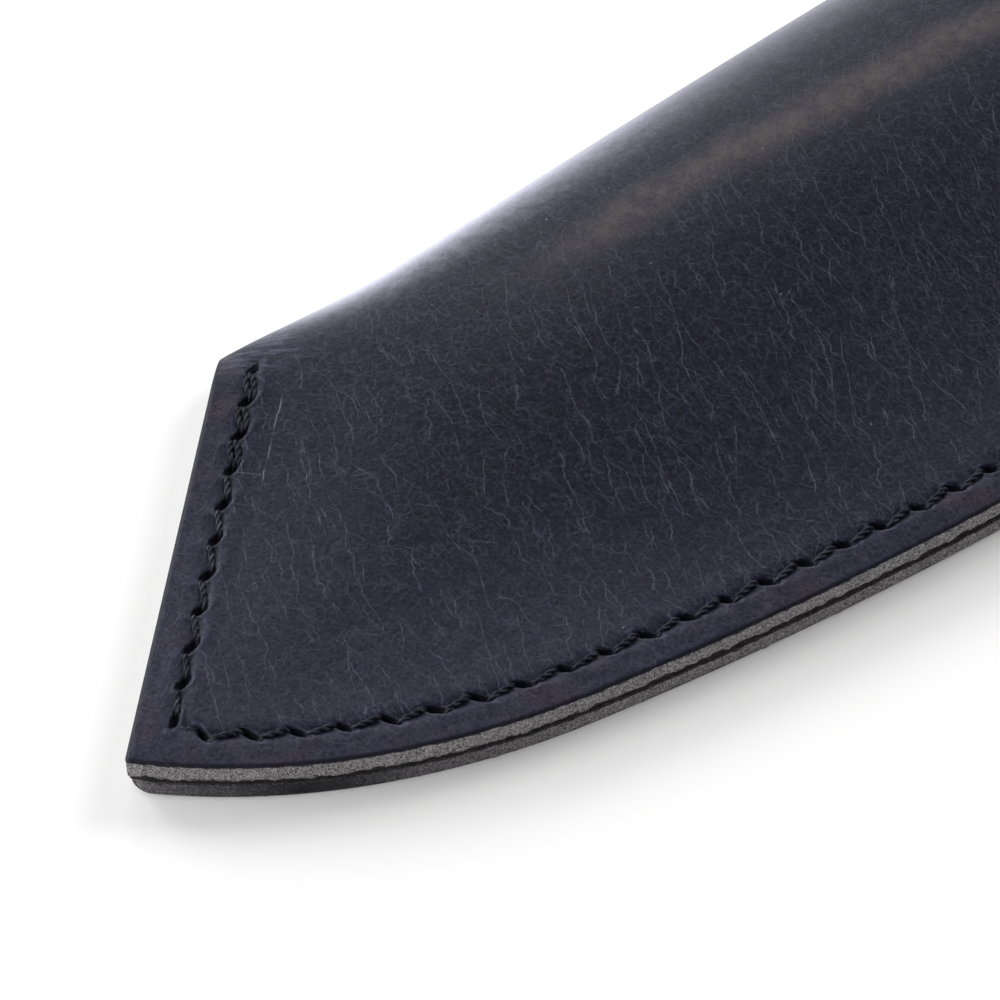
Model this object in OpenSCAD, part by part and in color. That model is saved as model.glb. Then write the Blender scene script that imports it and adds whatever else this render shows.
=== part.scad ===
// Leather blade guard for a wide kitchen knife: one hide folded over the blade's spine, with a welt
// between its cut edges and a lockstitched seam through all three layers. It lies on its back panel,
// the fold along X with the tip at low X and the mouth at high X, and the belly at low Y.

/* [Hide] */
// Thickness of the folded hide
hide_t = 1.8; // [1.4:0.1:2.2]
// Thickness of the welt strip between the panels
welt_t = 0.95; // [0.6:0.05:1.6]
// Width of the welt, from the cut edge inwards
welt_w = 7; // [5.5:0.5:10]
// How far the welt's edge lies behind the panels' cut edges
welt_recess = 0.25; // [0.05:0.05:0.5]

/* [Outline] */
// Length of the fold, from the line of the tip cut to the mouth
fold_len = 160; // [125:1:200]
// Length of the slanted cut at the tip
cut_len = 45.1; // [40:0.5:52]
// Angle between the tip cut and the line of the fold
cut_angle = 42.7; // [38:0.5:48]
// Angle of the belly below the fold's line where it leaves the tip corner
belly_start = 47.5; // [42:0.5:52]
// Radius of the belly at the tip corner
tip_r = 60; // [45:1:80]
// Angle that the belly turns through on that radius
tip_turn = 20.5; // [16:0.5:24]
// Radius of the belly's bend behind it
bend_r = 75; // [60:1:95]
// Angle that the belly turns through on the bend
bend_turn = 15; // [12:0.5:17]
// Radius of the long forward belly
belly_r = 350; // [250:10:450]
// Angle that the belly turns through there
belly_turn = 5.5; // [4:0.5:6.5]
// Radius with which the belly comes parallel to the fold
heel_r = 450; // [300:10:500]

/* [Fold] */
// Height of the fold at the mouth, over both panels
fold_h = 9.2; // [7:0.1:11]
// Distance from the tip cut over which the pinched fold opens
open_len = 26; // [18:1:36]
// How far the flattened fold spreads outwards at the tip
flare = 1.55; // [0.5:0.05:2]
// Length over which that spread fades
flare_len = 20; // [12:1:30]
// Distance from the fold to the front panel's crest at the tip
crest_tip = 3.2; // [3:0.1:5]
// Distance from the fold to the crest that the panel tends to at the mouth
crest_mouth = 24; // [18:0.5:28]

/* [Seam] */
// Distance from the cut edges to the seam
seam_inset = 3.4; // [3:0.1:4]
// Nominal length of a stitch
stitch = 4; // [3.4:0.1:5]
// Diameter of the needle thread and the bobbin thread
thread_d = 0.65; // [0.4:0.05:0.75]
// Distance of the last stitch hole on the tip cut from the tip corner
corner_cut = 4.9; // [4.5:0.1:6]
// Distance of the first stitch hole on the belly from the tip corner
corner_belly = 6.1; // [5.5:0.1:7]
// Distance of the last stitch hole from the mouth
mouth_clear = 3; // [2:0.5:6]

/* [Hidden] */

// Layers of the sewn edge
edge_t = 2 * hide_t + welt_t;
seam_flat = welt_w + 0.5;
cut_flat = seam_inset + 1.6;

// Number of sections along the cover, and of points on each stretch of a section
sections = 48;
round_steps = 4;
shoulder_steps = 6;
panel_steps = 4;
shoulder_power = 2.8;
shoulder_spread = 1.6;
silhouette_share = 0.48;
lower_round = 1.25;
opening_power = 1.3;
crest_len = 70;

// Thread in its groove and its holes
thread_sides = 6;
thread_fit = 0.05;
groove_fit = 0.15;
groove_depth = thread_d + 2 * thread_fit;
leg_gap = 0.05;
leg_half = (thread_d + leg_gap) / 2;
hole_d = 2 * leg_half + thread_d + 2 * thread_fit;
hole_fn = 24;
bend_len = 0.3;
over = 1;

// Belly outline: arcs of [radius, turn], and then a straight run to the mouth
arcs = [
    [tip_r, tip_turn],
    [bend_r, bend_turn],
    [belly_r, belly_turn],
    [heel_r, belly_start - tip_turn - bend_turn - belly_turn]
];
cut_dir = [-cos(cut_angle), -sin(cut_angle)];
cut_normal = [sin(cut_angle), -cos(cut_angle)];
tip_corner = cut_len * cut_dir;
tip_of_fold = [flare / tan(cut_angle), flare];

function heading(a) = [cos(a), sin(a)];
function left_of(v) = [-v[1], v[0]];
function unit(v) = v / norm(v);
function clamp01(v) = min(1, max(0, v));
function arc_len(i, inset) = (arcs[i][0] - inset) * arcs[i][1] * PI / 180;

// Point after turning left by angle a on radius r, from point p with heading h
function arc_point(p, h, r, a) = p + r * [sin(h + a) - sin(h), cos(h) - cos(h + a)];

// [point, heading] at distance s along the belly, moved inwards by inset
function along_belly(s, inset, i = 0, p = tip_corner, h = -belly_start) =
    let (start = i == 0 ? p + inset * left_of(heading(h)) : p)
    i == len(arcs) ? [start + s * heading(h), h] :
    let (r = arcs[i][0] - inset, l = arc_len(i, inset))
    s <= l
        ? [arc_point(start, h, r, s / r * 180 / PI), h + s / r * 180 / PI]
        : along_belly(s - l, inset, i + 1, arc_point(start, h, r, arcs[i][1]), h + arcs[i][1]);

function arcs_len(inset, i = 0) = i == len(arcs) ? 0 : arc_len(i, inset) + arcs_len(inset, i + 1);
function belly_len(inset) = arcs_len(inset) + fold_len - along_belly(arcs_len(inset), inset)[0][0];
function belly_point(s, inset = 0) = along_belly(s, inset)[0];

// The fold's outer line, which spreads outwards where it is pinched flat at the tip
function fold_x(u) = tip_of_fold[0] + u * (fold_len - tip_of_fold[0]);
function fold_y(x) = flare * (1 + cos(180 * clamp01((x - tip_of_fold[0]) / flare_len))) / 2;
function fold_point(u) = [fold_x(u), fold_y(fold_x(u))];

// Height over both panels at the fold, at a distance from the tip cut
function opened(d) = 1 - exp(-pow(max(0, d - cut_flat) / open_len, opening_power));
function fold_height(p) = edge_t + (fold_h - edge_t) * opened(p * cut_normal);
function crest(x) = crest_tip + (crest_mouth - crest_tip) * (1 - exp(-max(0, x) / crest_len));

// Quarter rounds of a section as [distance from the fold's outer line, height]
function lower_curve(inset, h0) = [
    for (k = [0 : round_steps])
        let (a = 90 * k / round_steps, w = lower_round * h0)
        [w - (w - inset) * sin(a), h0 - (h0 - inset) * cos(a)]
];
function upper_curve(inset, h0, top, reach) = [
    for (k = [1 : shoulder_steps])
        let (v = pow(k / shoulder_steps, shoulder_spread))
        [
            inset + (reach - inset) * v,
            h0 + (top - inset - h0) * pow(1 - pow(1 - v, shoulder_power), 1 / shoulder_power)
        ]
];
function panel_curve(inset, top, reach, flat_at) = [
    for (k = [1 : panel_steps])
        let (v = k / panel_steps)
        [
            reach + (flat_at - reach) * v,
            edge_t - inset + (top - edge_t) * (1 + cos(180 * v)) / 2
        ]
];
function wall(inset, h0, top, reach, flat_at, depth) = concat(
    [[depth, inset]],
    lower_curve(inset, h0),
    upper_curve(inset, h0, top, reach),
    panel_curve(inset, top, reach, flat_at),
    [[depth, edge_t - inset]]
);
function reversed(list) = [for (k = [len(list) - 1 : -1 : 0]) list[k]];

// One section of the cover: the outer wall from the back panel's edge round to the front panel's,
// and then the inner wall back again
function cover_section(u) =
    let (
        f = fold_point(u),
        b = belly_point(u * belly_len(0)),
        depth = f[1] - b[1],
        top = fold_height(f),
        h0 = top * silhouette_share,
        reach = crest(f[0]),
        flat_at = depth - seam_flat,
        outer = wall(0, h0, top, reach, flat_at, depth),
        inner = wall(hide_t, h0, top, reach, flat_at, depth)
    )
    [
        for (q = concat(outer, reversed(inner)))
            let (p = f + (b - f) * q[0] / depth)
            [p[0], p[1], q[1]]
    ];

// Closed skin over rings of equal size, with a cap on each end
module skin(rings, caps) {
    n = len(rings[0]);
    last = len(rings) - 1;
    points = [for (ring = rings) each ring];
    sides = [
        for (i = [0 : last - 1], j = [0 : n - 1])
            let (a = i * n + j, b = i * n + (j + 1) % n)
            each [[a, b, b + n], [a, b + n, a + n]]
    ];
    ends = [for (c = caps) each [[c[2], c[1], c[0]], [for (v = c) v + last * n]]];
    polyhedron(points, concat(sides, ends), convexity = 6);
}

// Caps of a U-shaped section: quads that run between its outer and its inner wall
section_size = 2 * len(wall(0, 1, 2, 3, 4, 5));
function u_caps() = [
    for (j = [0 : section_size / 2 - 2])
        let (k = section_size - 1 - j)
        each [[j, j + 1, k - 1], [j, k - 1, k]]
];
function fan_caps(n) = [for (j = [1 : n - 2]) [0, j, j + 1]];

// Stitch holes: along the tip cut, and then along the belly to the mouth
cut_run = cut_len - corner_cut;
cut_stitches = round(cut_run / stitch);
belly_run = belly_len(seam_inset) - corner_belly - mouth_clear;
belly_stitches = round(belly_run / stitch);
holes = concat(
    [
        for (i = [0 : cut_stitches])
            cut_dir * cut_run * i / cut_stitches + cut_normal * seam_inset
    ],
    [
        for (i = [0 : belly_stitches])
            belly_point(corner_belly + belly_run * i / belly_stitches, seam_inset)
    ]
);
last_hole = len(holes) - 1;

// Direction of the seam at a hole, halfway between its two stitches
function seam_dir(i) =
    unit(
        (i > 0 ? unit(holes[i] - holes[i - 1]) : [0, 0])
        + (i < last_hole ? unit(holes[i + 1] - holes[i]) : [0, 0])
    );
function leg(i, side) = holes[i] + side * leg_half * seam_dir(i);

// Points of the seam's line, two at each hole, where the thread goes in and where it comes out
seam_line = [for (i = [0 : last_hole], side = [-1, 1]) leg(i, side)];
function line_normal(k) =
    let (last = len(seam_line) - 1)
    left_of(unit(seam_line[min(k + 1, last)] - seam_line[max(k - 1, 0)]));
function groove_side(half) = [for (k = [0 : len(seam_line) - 1]) seam_line[k] + half * line_normal(k)];

// A groove along the whole seam, a little wider than the thread
module groove() {
    half = thread_d / 2 + groove_fit;
    polygon(concat(groove_side(-half), reversed(groove_side(half))));
}

// Holes through all three layers, each with room for both legs of a loop
module stitch_holes() {
    for (h = holes)
        translate([h[0], h[1], -over])
            cylinder(h = edge_t + 2 * over, d = hole_d, $fn = hole_fn);
}

// Hide, folded over the spine of the blade
module cover() {
    color([0.18, 0.185, 0.23])
        difference() {
            skin([for (i = [0 : sections]) cover_section(i / sections)], u_caps());
            translate([0, 0, edge_t - groove_depth]) linear_extrude(groove_depth + over) groove();
            translate([0, 0, -over]) linear_extrude(groove_depth + over) groove();
            stitch_holes();
        }
}

// Strip that follows the tip cut and the belly, and ends inside the fold
function welt_outer() = concat(
    [
        fold_end(welt_recess)
    ],
    [
        for (i = [0 : sections])
            belly_point(
                i == 0 ? welt_recess : i / sections * (belly_len(welt_recess) - welt_recess),
                welt_recess
            )
    ]
);
function welt_inner() = concat(
    [
        fold_end(welt_w)
    ],
    [
        for (i = [0 : sections])
            belly_point(welt_w + i / sections * (belly_len(welt_w) - welt_w - welt_recess), welt_w)
    ]
);

// Point under the fold, at a distance from the tip cut's line
function fold_end(d) =
    let (y = fold_y(tip_of_fold[0] + d) - hide_t - thread_fit)
    [(y * cos(cut_angle) + d) / sin(cut_angle), y];

module welt() {
    color([0.09, 0.09, 0.1])
        difference() {
            translate([0, 0, hide_t])
                linear_extrude(welt_t) polygon(concat(welt_outer(), reversed(welt_inner())));
            stitch_holes();
        }
}

// Path of a thread: a stitch from hole to hole at height run_z, and a loop down to lock_z in each hole
function thread_path(run_z, lock_z) =
    let (turn_z = lock_z + sign(run_z - lock_z) * leg_half, drop = sign(run_z - lock_z) * bend_len)
    [
        for (i = [0 : last_hole])
            let (
                a = leg(i, -1),
                b = leg(i, 1),
                n = left_of(seam_dir(i)),
                back = i > 0 ? unit(leg(i - 1, 1) - a) : [0, 0],
                ahead = i < last_hole ? unit(leg(i + 1, -1) - b) : [0, 0]
            )
            each concat(
                i > 0 ? [[a + bend_len * back, run_z, n], [a, run_z - drop, n]] : [],
                [[a, turn_z, n], [holes[i], lock_z, n], [b, turn_z, n]],
                i < last_hole ? [[b, run_z - drop, n], [b + bend_len * ahead, run_z, n]] : []
            )
    ];

// Ring round point k of a path, square to the path there
function thread_ring(path, k) =
    let (
        here = path[k],
        p = [here[0][0], here[0][1], here[1]],
        before = path[max(k - 1, 0)],
        after = path[min(k + 1, len(path) - 1)],
        t = unit(
            (k > 0 ? unit(p - [before[0][0], before[0][1], before[1]]) : [0, 0, 0])
            + (k < len(path) - 1 ? unit([after[0][0], after[0][1], after[1]] - p) : [0, 0, 0])
        ),
        n = [here[2][0], here[2][1], 0],
        m = cross(t, n)
    )
    [
        for (j = [0 : thread_sides - 1])
            let (a = 360 * j / thread_sides)
            p + thread_d / 2 * (cos(a) * n + sin(a) * m)
    ];

module thread(run_z, lock_z) {
    path = thread_path(run_z, lock_z);
    skin([for (k = [0 : len(path) - 1]) thread_ring(path, k)], fan_caps(thread_sides));
}

// Upper thread, flush in the front panel's groove
module needle_thread() {
    color([0.07, 0.07, 0.1])
        thread(edge_t - thread_d / 2 - thread_fit, edge_t / 2 + thread_d / 2 + thread_fit);
}

// Lower thread, flush in the back panel's groove
module bobbin_thread() {
    color([0.07, 0.07, 0.1])
        thread(thread_d / 2 + thread_fit, edge_t / 2 - thread_d / 2 - thread_fit);
}

// Puts the middle of the outline over the origin
mouth_y = belly_point(belly_len(0))[1];
module placed() {
    translate([-(tip_corner[0] + fold_len) / 2, -(flare + mouth_y) / 2, 0]) children();
}

placed() cover();
placed() welt();
placed() needle_thread();
placed() bobbin_thread();
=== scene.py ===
"""Looks of a folded leather blade guard: hide with its grain and raw edges, welt, and two twisted threads."""

import math

import bpy
import numpy as np
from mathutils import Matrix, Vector


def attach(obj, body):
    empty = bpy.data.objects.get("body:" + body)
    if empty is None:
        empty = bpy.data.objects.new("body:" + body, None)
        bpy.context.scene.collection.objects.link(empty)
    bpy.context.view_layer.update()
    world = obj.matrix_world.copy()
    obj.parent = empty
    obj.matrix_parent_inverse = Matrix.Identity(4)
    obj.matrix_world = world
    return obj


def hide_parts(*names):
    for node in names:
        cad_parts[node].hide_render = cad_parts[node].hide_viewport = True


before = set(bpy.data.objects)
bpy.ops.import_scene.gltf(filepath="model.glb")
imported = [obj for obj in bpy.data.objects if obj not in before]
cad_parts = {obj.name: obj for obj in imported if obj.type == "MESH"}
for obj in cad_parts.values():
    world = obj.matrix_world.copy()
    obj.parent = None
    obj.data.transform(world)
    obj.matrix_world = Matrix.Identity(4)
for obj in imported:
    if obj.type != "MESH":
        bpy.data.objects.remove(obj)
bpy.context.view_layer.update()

# Driving dimensions of the guard, in millimetres and radians, with the values of the part's source
MM = 0.001
HIDE_T = 1.8
WELT_T = 0.95
WELT_W = 7.0
WELT_RECESS = 0.25
FOLD_LEN = 160.0
CUT_LEN = 45.1
CUT_ANGLE = math.radians(42.7)
BELLY_START = math.radians(47.5)
ARCS = [(60.0, math.radians(20.5)), (75.0, math.radians(15.0)), (350.0, math.radians(5.5))]
HEEL_R = 450.0
FOLD_H = 9.2
OPEN_LEN = 26.0
OPENING_POWER = 1.3
FLARE = 1.55
FLARE_LEN = 20.0
CREST_TIP = 3.2
CREST_MOUTH = 24.0
CREST_LEN = 70.0
LOWER_ROUND = 1.25
SEAM_INSET = 3.4
STITCH = 4.0
CORNER_CUT = 4.9
CORNER_BELLY = 6.1
MOUTH_CLEAR = 3.0
EDGE_T = 2 * HIDE_T + WELT_T
SEAM_FLAT = WELT_W + 0.5
CUT_FLAT = SEAM_INSET + 1.6

# Roundness of the fold's upper half, and its share of the height where it is widest: rounder than the solid's
SHOULDER_POWER = 2.0
SILHOUETTE_SHARE = 0.44

# Twisted thread, and the slits that a leather needle cuts at a slant to the seam
THREAD_D = 0.7
TWIST = 2.4
SLIT_SLANT = math.radians(38)
SLIT_HALF_L = 0.98
SLIT_HALF_W = 0.34

# Crest of the front panel, whose band is partly wear and partly painted highlight: its distance from the fold
# is low - slope x + bend x squared
RIDGE_LOW = 11.6
RIDGE_SLOPE = 0.0385
RIDGE_BEND = 0.00105
RIDGE_W = 3.6
RIDGE_H = 0.12

# Presser foot's mark beside the first stitches: its distance from the cut edge, then places along that edge
MARK_IN = 6.4
MARK_START = 1.6
MARK_BARS = (12.4, 16.0)
MARK_END = 14.0

# Camera, fitted to the stitch holes: where it looks, and from where
AIM = Vector((-53.84, -0.05, 4.5)) * MM
VIEW_TURN = math.radians(39.26)
VIEW_RISE = math.radians(50.18)
VIEW_DISTANCE = 0.4831
VIEW_LENS = 198.0

rng = np.random.default_rng(7)


# Outline of the guard in plan: the fold along X, the tip cut and the belly


def unit(v):
    """Vectors divided by their length."""
    return v / np.linalg.norm(v, axis=-1, keepdims=True)


def left_of(v):
    """Plan vectors turned a quarter turn to the left."""
    return np.stack([-v[..., 1], v[..., 0]], -1)


def heading(a):
    """Unit plan vectors at angle a from the fold's direction."""
    return np.stack([np.cos(a), np.sin(a)], -1)


CUT_DIR = np.array([-math.cos(CUT_ANGLE), -math.sin(CUT_ANGLE)])
CUT_NORMAL = np.array([math.sin(CUT_ANGLE), -math.cos(CUT_ANGLE)])
TIP_CORNER = CUT_LEN * CUT_DIR
TIP_OF_FOLD = np.array([FLARE / math.tan(CUT_ANGLE), FLARE])
BELLY_ARCS = [*ARCS, (HEEL_R, BELLY_START - sum(turn for _, turn in ARCS))]


def belly(s, inset=0.0):
    """Points and headings at distances s along the belly, moved inwards: arcs end to end, then a line."""
    s = np.asarray(s, float)
    a = -BELLY_START
    start = TIP_CORNER + inset * left_of(heading(a))
    points, headings = start + s[..., None] * heading(a), np.full(s.shape, a)
    passed = 0.0
    for radius, turn in BELLY_ARCS:
        r = radius - inset
        b = a + np.clip((s - passed) / r, 0, turn)
        arc = start + r * np.stack([np.sin(b) - math.sin(a), math.cos(a) - np.cos(b)], -1)
        beyond = np.maximum(s - passed - r * turn, 0)
        here = s >= passed
        points = np.where(here[..., None], arc + beyond[..., None] * heading(a + turn), points)
        headings = np.where(here, b, headings)
        start = start + r * np.array([math.sin(a + turn) - math.sin(a), math.cos(a) - math.cos(a + turn)])
        a = a + turn
        passed = passed + r * turn
    return points, headings


def belly_len(inset=0.0):
    """Length of the belly from the tip corner to the mouth."""
    arcs = sum((radius - inset) * turn for radius, turn in BELLY_ARCS)
    return arcs + FOLD_LEN - belly(arcs, inset)[0][0]


def fold_y(x):
    """The fold's outer line: straight, with a half cosine outwards where it is pinched flat at the tip."""
    v = np.clip((x - TIP_OF_FOLD[0]) / FLARE_LEN, 0, 1)
    return FLARE * (1 + np.cos(np.pi * v)) / 2


def opened(d):
    """Share of its full height that the pocket has at distance d from the tip cut, from 0 to 1."""
    return 1 - np.exp(-((np.maximum(0, d - CUT_FLAT) / OPEN_LEN) ** OPENING_POWER))


def top_height(p):
    """Height of the front panel over a plan point, before it comes down to the seam or the fold."""
    return EDGE_T + (FOLD_H - EDGE_T) * opened(p @ CUT_NORMAL)


def crest(x):
    """Distance of the front panel's crest from the fold: it grows from the tip towards the mouth."""
    return CREST_TIP + (CREST_MOUTH - CREST_TIP) * (1 - np.exp(-np.maximum(0, x) / CREST_LEN))


# Seam: stitch holes along the tip cut, and then along the belly


def stitch_holes():
    """Holes at equal steps along the two seam lines."""
    cut_run = CUT_LEN - CORNER_CUT
    along_cut = np.linspace(0, cut_run, round(cut_run / STITCH) + 1)
    belly_run = belly_len(SEAM_INSET) - CORNER_BELLY - MOUTH_CLEAR
    along_belly = CORNER_BELLY + np.linspace(0, belly_run, round(belly_run / STITCH) + 1)
    cut = along_cut[:, None] * CUT_DIR + SEAM_INSET * CUT_NORMAL
    return np.concatenate([cut, belly(along_belly, SEAM_INSET)[0]]), len(cut)


HOLES, CUT_HOLES = stitch_holes()


def seam_directions():
    """Direction of the seam at each hole, halfway between its two stitches."""
    steps = unit(np.diff(HOLES, axis=0))
    return unit(np.concatenate([steps[:1], steps[1:] + steps[:-1], steps[-1:]]))


SEAM_DIRS = seam_directions()
SLIT_TURNS = SLIT_SLANT + rng.normal(0, math.radians(5), len(HOLES))[:, None]
SLIT_DIRS = np.cos(SLIT_TURNS) * SEAM_DIRS - np.sin(SLIT_TURNS) * left_of(SEAM_DIRS)
SLIT_LENGTHS = SLIT_HALF_L * rng.uniform(0.85, 1.12, len(HOLES))


def edge_distance(p):
    """Distance of plan points from the nearer cut edge, exact on the tip cut and close to it on the belly."""
    s = np.linspace(0, belly_len(), 400)
    line, turns = belly(s)
    at = np.interp(p[:, 0], line[:, 0], s)
    y, a = np.interp(at, s, line[:, 1]), np.interp(at, s, turns)
    return np.minimum(p @ CUT_NORMAL, (p[:, 1] - y) * np.cos(a))


def seam_place(p, d):
    """Plan points' places on the seam: stitches counted along it, the distance to its left, and from slits.

    The last is the distance from the nearest slit's middle in shares of its half length and half width.
    """
    a, step = HOLES[:-1], np.diff(HOLES, axis=0)
    length = np.linalg.norm(step, axis=1)
    count, side, out = np.zeros(len(p)), np.full(len(p), 99.0), np.full(len(p), 99.0)
    near = np.nonzero(d < 2 * SEAM_INSET)[0]
    for chunk in np.array_split(near, max(1, len(near) // 20000)):
        rel = p[chunk, None] - a
        v = (rel * step).sum(-1) / length**2
        inside = np.clip(v, 0, 1)
        off = rel - inside[..., None] * step
        best = np.argmin((off**2).sum(-1), axis=1)
        rows = np.arange(len(chunk))
        before = (best == 0) & (v[rows, best] < 0)
        after = (best == len(a) - 1) & (v[rows, best] > 1)
        count[chunk] = best + np.where(before | after, v[rows, best], inside[rows, best])
        side[chunk] = (rel[rows, best] * left_of(step)[best]).sum(-1) / length[best]
        rel = p[chunk, None] - HOLES
        along, across = (rel * SLIT_DIRS).sum(-1), (rel * left_of(SLIT_DIRS)).sum(-1)
        out[chunk] = np.hypot(along / SLIT_LENGTHS, across / SLIT_HALF_W).min(axis=1)
    return count, side, out


# The hide: rings from the back panel's cut edge round the fold to the front panel's, and back inside


# Distances of a ring's points from the rim, close together on its roll and on the seam, in millimetres
ROLL_STEPS = [0, 0.06, 0.16, 0.3, 0.5, 0.9, 1.5, 2.1]
SEAM_STEPS = [2.4, 2.6, 2.8, 3.0, 3.2, 3.4, 3.6, 3.8, 4.0, 4.2, 4.5, 5.0, 6.1, SEAM_FLAT]
EDGE_STEPS = np.array([*ROLL_STEPS, *SEAM_STEPS])

# Points of a raw edge as shares of its height, and points of each other stretch of a ring
EDGE_LEVELS = np.array([0.08, 0.24, 0.42, 0.6, 0.8, 0.97])
FOLD_STEPS = 9
SHOULDER_STEPS = 14
SHOULDER_SPACING = 1.6
BACK_STEPS = 10
PANEL_STEPS = 21
LINING_EVERY = 3

# Rings of a strip along the tip cut, which have more points by these factors, and rings of the rest
TIP_STRIP = 6.2
STRIP_ROWS = 29
FINE_BACK = 11
FINE_PANEL = 6
MAIN_ROWS = 590


def wall(fold, edge, turn, inset, back_steps, panel_steps):
    """One wall of each section, from the back panel's cut edge round the fold to the front panel's.

    The back is flat. The fold's lower half is a quarter ellipse, and its upper half a quarter superellipse up
    to the crest. From there the front panel comes down to the sewn edge in a half cosine. inset is the depth
    in the hide.
    """
    line = edge - fold
    length = np.linalg.norm(line, axis=1)[:, None]
    e = line / length
    drop = -e[:, 1:]
    skew = 1 / np.abs(e[:, :1] * np.sin(turn)[:, None] - e[:, 1:] * np.cos(turn)[:, None])
    h0 = SILHOUETTE_SHARE * top_height(fold)[:, None]
    width = LOWER_ROUND * h0
    reach = crest(fold[:, :1])
    rim = length - EDGE_STEPS * skew

    back = rim[:, -1:] + (width / drop - rim[:, -1:]) * np.linspace(0, 1, back_steps + 1)[1:-1]
    a = np.linspace(0, np.pi / 2, FOLD_STEPS)
    lower = (width - (width - inset) * np.sin(a)) / drop
    v = (np.arange(1, SHOULDER_STEPS + 1) / SHOULDER_STEPS) ** SHOULDER_SPACING
    upper = (inset + (reach - inset) * v) / drop
    w = np.linspace(0, 1, panel_steps + 1)[1:-1]
    panel = reach / drop + (rim[:, -1:] - reach / drop) * w
    along = np.concatenate([rim, back, lower, upper, panel, rim[:, ::-1]], axis=1)
    plan = fold[:, None] + along[..., None] * e[:, None]

    top = top_height(plan)
    z = np.full(along.shape, float(inset))
    i = rim.shape[1] + back_steps - 1
    j = i + FOLD_STEPS
    k = j + SHOULDER_STEPS
    m = k + panel_steps - 1
    z[:, i:j] = h0 - (h0 - inset) * np.cos(a)
    bend = (1 - (1 - v) ** SHOULDER_POWER) ** (1 / SHOULDER_POWER)
    z[:, j:k] = h0 + (top[:, j:k] - inset - h0) * bend
    z[:, k:m] = EDGE_T - inset + (top[:, k:m] - EDGE_T) * (1 + np.cos(np.pi * w)) / 2
    z[:, m:] = EDGE_T - inset
    return plan, z, j


def relief(p):
    """Height that the sewn grain side has over a flat one, and each point's place on the seam.

    The rim is a quarter ellipse with an exponential slope behind it. Along the seam there is a bell-shaped
    trough with a low swell beside it, and each slit is an elliptic pit with a raised lip.
    """
    d = np.maximum(edge_distance(p), 0)
    count, side, out = seam_place(p, d)
    round_w, round_h = 0.3, 0.17
    slope_w, slope_h = 1.2, 0.1
    roll = -round_h * (1 - np.sqrt(1 - np.clip(1 - d / round_w, 0, 1) ** 2)) - slope_h * np.exp(-d / slope_w)
    trough_w, trough_h = 0.55, 0.17
    swell_at, swell_w, swell_h = 1.4, 0.6, 0.06
    trough = -trough_h * np.exp(-((side / trough_w) ** 2))
    trough += swell_h * np.exp(-(((np.abs(side) - swell_at) / swell_w) ** 2))
    on_seam = (count > -0.15) & (count < len(HOLES) - 0.85)
    pit_size, pit_h = 1.2, 0.6
    lip_at, lip_w, lip_h = 1.7, 0.45, 0.1
    pit = -pit_h * np.maximum(0, 1 - (out / pit_size) ** 2)
    pit += lip_h * np.exp(-(((out - lip_at) / lip_w) ** 2))
    return roll + trough * on_seam + pit, d, count, side, out


def ridge(x, y):
    """Distance of plan points across the crest of the front panel, and how much of it there is at x."""
    offset = y + RIDGE_LOW - RIDGE_SLOPE * x + RIDGE_BEND * x**2
    present = np.clip((x - 20) / 20, 0, 1) * np.clip((118 - x) / 25, 0, 1)
    return offset, present


def rounded_corner(plan, radius):
    """Plan points with the tip corner rounded: a square of that size at the corner is mapped onto a disc."""
    inward = np.stack([-CUT_DIR, CUT_NORMAL])
    rel = (plan - TIP_CORNER) @ inward.T
    out = np.clip(radius - rel, 0, None)
    both = (out > 0).all(-1)
    size = np.maximum(np.linalg.norm(out, axis=-1), 1e-9)
    disc = radius - out / size[..., None] * out.max(-1)[..., None]
    moved = TIP_CORNER + disc @ inward
    return np.where(both[..., None], moved, plan)


# Radius of the tip corner on the back panel and on the front one, and the distance in which swells fade in
LOWER_CORNER = 2.2
UPPER_CORNER = 0.45
SWELL_FADE = 6


def grain_side(fold, edge, turn, back_steps, panel_steps):
    """The outer wall with its relief, and the fields of its material.

    Low sine waves and the crest's bell lift the front panel, away from the seam. The field upper is 1
    from the fold's widest line to the front panel's edge.
    """
    plan, z, half = wall(fold, edge, turn, 0.0, back_steps, panel_steps)
    n = plan.shape[1]
    lift, d, count, side, out = (v.reshape(z.shape) for v in relief(plan.reshape(-1, 2)))
    x, y = plan[..., 0], plan[..., 1]
    waves = 0.05 * np.sin(x / 6.1 + y / 9.7) + 0.04 * np.sin(x / 3.7 - y / 4.9 + 1.2)
    waves += 0.06 * np.sin(x / 17 + y / 7.3)
    offset, present = ridge(x, y)
    swell = waves + RIDGE_H * present * np.exp(-((offset / RIDGE_W) ** 2))
    fade = np.clip((np.arange(n) - half) / SHOULDER_STEPS, 0, 1)
    top = lift + swell * np.clip((d - SEAM_INSET) / SWELL_FADE, 0, 1)
    z += np.where(np.arange(n) < half, np.maximum(0, -lift) * (z < 0.01), top * fade)
    corner = np.where(np.arange(n) < half, 1, 0)[None, :, None]
    plan = np.where(corner, rounded_corner(plan, LOWER_CORNER), rounded_corner(plan, UPPER_CORNER))
    upper = np.clip((np.arange(n) - half + 1) / 2, 0, 1) + 0 * d
    fields = {"raw": 0 * d, "depth": 0 * d, "tone": 1 + 0 * d, "upper": upper}
    fields.update({"stitch": count, "offseam": side, "slit": np.minimum(out, 5), "inward": d})
    return np.concatenate([plan, z[..., None]], axis=-1), fields


def seeded_noise(rows, columns, passes=1):
    """Noise of unit spread, averaged with its neighbours along both directions."""
    n = rng.standard_normal((rows, columns))
    for _ in range(passes):
        for axis in (0, 1):
            n = (np.roll(n, 1, axis) + 2 * n + np.roll(n, -1, axis)) / 4
    return n / n.std()


# Fuzz of a raw edge, and how pale the back panel's is at places along X: darkest near the tip corner
FUZZ = 0.06
BAND_X = [-33, -27, -22, -19, -13, 4]
BAND_TONE = [0.5, 0.3, 0.06, 0.1, 0.5, 0.9]


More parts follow.
